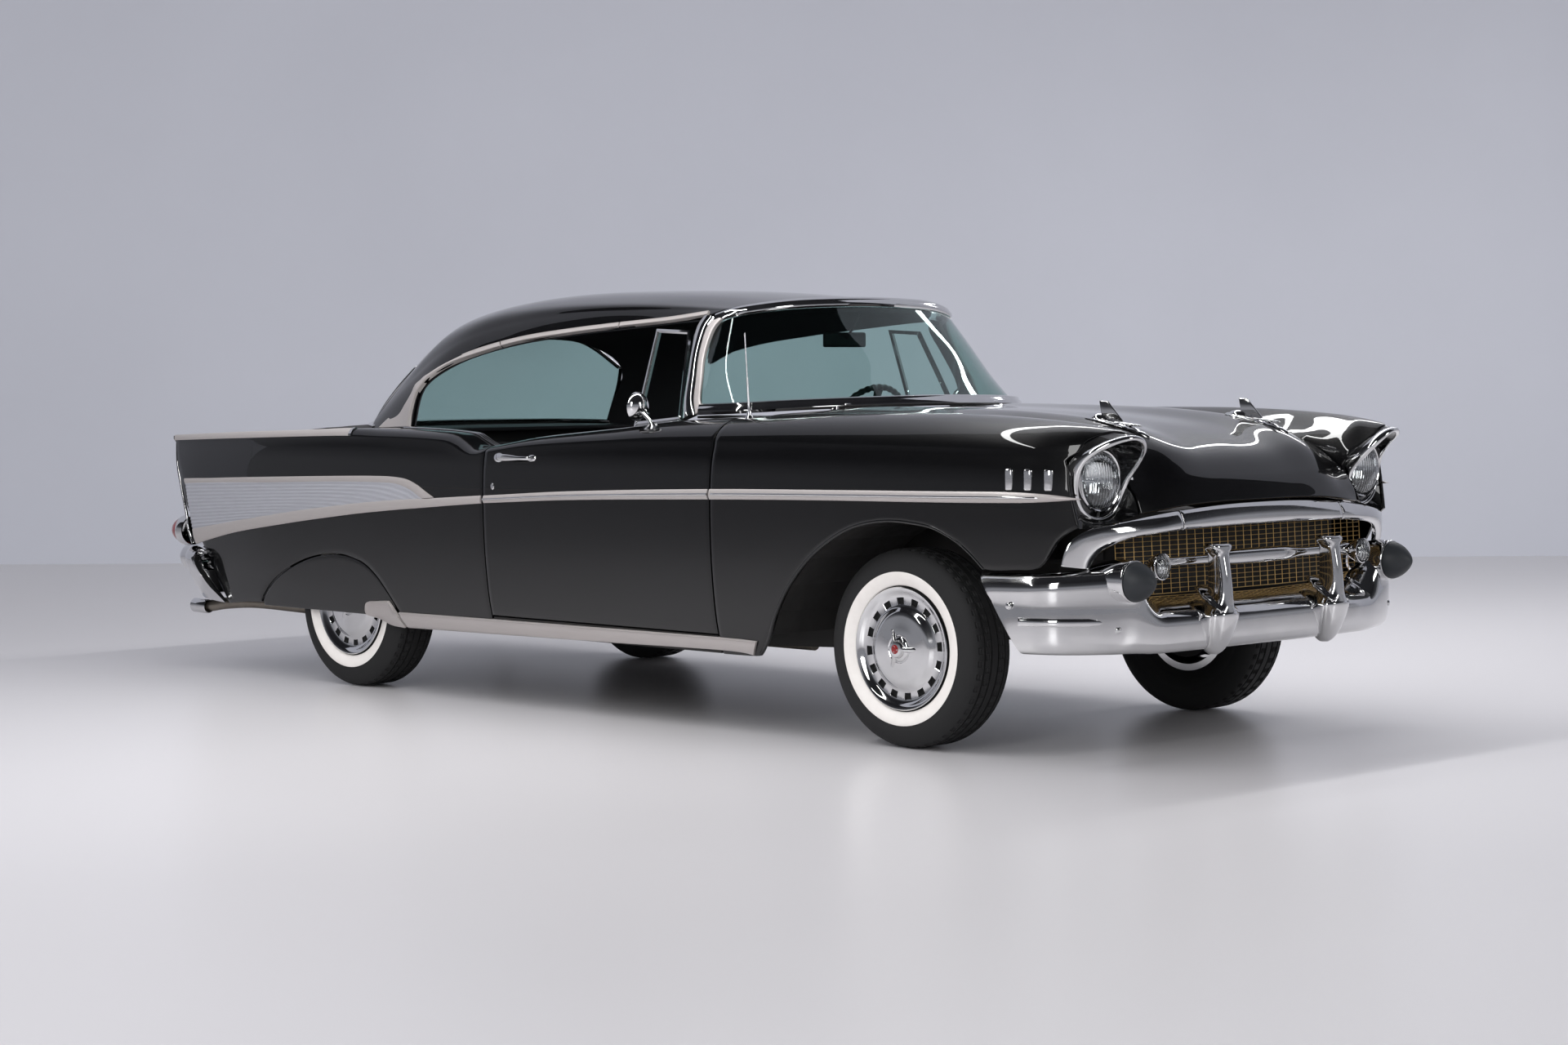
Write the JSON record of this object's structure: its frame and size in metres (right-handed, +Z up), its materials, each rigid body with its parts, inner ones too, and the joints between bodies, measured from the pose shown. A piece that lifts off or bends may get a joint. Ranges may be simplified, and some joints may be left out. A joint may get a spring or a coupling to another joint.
{
  "type": "two-door hardtop saloon car of the late 1950s",
  "caption": "Late-1950s two-door hardtop car with tail fins, whitewall tyres, opening doors, hood and trunk lid, turning wheels and steering.",
  "frame": {"origin": "on the floor, under the middle of the car", "axes": "+X towards the front of the car, +Y to its left, +Z up"},
  "size_m": [5.08, 1.9106, 1.5269],
  "materials": {
    "black_paint": "gloss",
    "chrome": "polished",
    "wheel_chrome": "polished",
    "gold_anodised": "satin",
    "glass": "clear",
    "red_lens": "gloss",
    "tyre": "matt",
    "seat_cloth": "woven",
    "wheel_plastic": "satin",
    "dash_paint": "satin",
    "chassis_paint": "satin",
    "cast_block": "painted",
    "exhaust_steel": "dull"
  },
  "bodies": {
    "body": {"frame": "chassis_paint", "floor_pan": "chassis_paint", "front_suspension": "chassis_paint", "rear_axle": "chassis_paint", "engine": "cast_block", "exhaust": "exhaust_steel", "fuel_tank": "chassis_paint", "fender_left": "black_paint", "fender_right": "black_paint", "quarter_left": "black_paint", "quarter_right": "black_paint", "skirt_left": "black_paint", "skirt_right": "black_paint", "roof": "black_paint", "windshield_frame": "chrome", "windshield": "glass", "rear_glass": "glass", "grille": "gold_anodised", "grille_surround": "chrome", "headlamp_left": "chrome", "headlamp_right": "chrome", "tail_lamp_left": "red_lens", "tail_lamp_right": "red_lens", "front_bumper": "chrome", "rear_bumper": "chrome", "front_seat": "seat_cloth", "rear_seat": "seat_cloth", "dashboard": "dash_paint"},
    "steer_left": {"knuckle_left": "chassis_paint"},
    "steer_right": {"knuckle_right": "chassis_paint"},
    "wheel_fl": {"tyre_front_left": "tyre", "wheel_front_left": "wheel_chrome"},
    "wheel_fr": {"tyre_front_right": "tyre", "wheel_front_right": "wheel_chrome"},
    "wheel_rl": {"tyre_rear_left": "tyre", "wheel_rear_left": "wheel_chrome"},
    "wheel_rr": {"tyre_rear_right": "tyre", "wheel_rear_right": "wheel_chrome"},
    "door_l": {"door_left": "black_paint", "door_mirror_left": "chrome"},
    "door_r": {"door_right": "black_paint", "door_mirror_right": "chrome"},
    "hood_panel": {"hood": "black_paint"},
    "trunk_panel": {"trunk_lid": "black_paint"},
    "steering": {"steering_wheel": "wheel_plastic"}
  },
  "joints": [
    {"name": "steer_left", "type": "hinge", "parent": "body", "child": "steer_left", "pos_m": [1.61, 0.6155, 0.324], "axis": [0, 0, 1], "range_deg": [-30, 30]},
    {"name": "steer_right", "type": "hinge", "parent": "body", "child": "steer_right", "pos_m": [1.61, -0.6155, 0.324], "axis": [0, 0, 1], "range_deg": [-30, 30]},
    {"name": "spin_front_left", "type": "hinge", "parent": "steer_left", "child": "wheel_fl", "pos_m": [1.61, 0.7365, 0.324], "axis": [0, 1, 0], "continuous": true},
    {"name": "spin_front_right", "type": "hinge", "parent": "steer_right", "child": "wheel_fr", "pos_m": [1.61, -0.7365, 0.324], "axis": [0, 1, 0], "continuous": true},
    {"name": "spin_rear_left", "type": "hinge", "parent": "body", "child": "wheel_rl", "pos_m": [-1.311, 0.747, 0.324], "axis": [0, 1, 0], "continuous": true},
    {"name": "spin_rear_right", "type": "hinge", "parent": "body", "child": "wheel_rr", "pos_m": [-1.311, -0.747, 0.324], "axis": [0, 1, 0], "continuous": true},
    {"name": "door_left_hinge", "type": "hinge", "parent": "body", "child": "door_l", "pos_m": [0.823, 0.94, 0.65], "axis": [0, 0, 1], "range_deg": [-65, 0]},
    {"name": "door_right_hinge", "type": "hinge", "parent": "body", "child": "door_r", "pos_m": [0.823, -0.94, 0.65], "axis": [0, 0, 1], "range_deg": [0, 65]},
    {"name": "hood_hinge", "type": "hinge", "parent": "body", "child": "hood_panel", "pos_m": [0.98, 0, 1.112], "axis": [0, 1, 0], "range_deg": [-50, 0]},
    {"name": "trunk_hinge", "type": "hinge", "parent": "body", "child": "trunk_panel", "pos_m": [-1.726, 0, 1.03], "axis": [0, 1, 0], "range_deg": [0, 65]},
    {"name": "steering_turn", "type": "hinge", "parent": "body", "child": "steering", "pos_m": [0.3, 0.37, 0.96], "axis": [-0.9063, 0, 0.4226], "range_deg": [-480, 480]}
  ],
  "couplings": [
    {"joint": "steer_right", "follows": "steer_left", "ratio": 1}
  ]
}
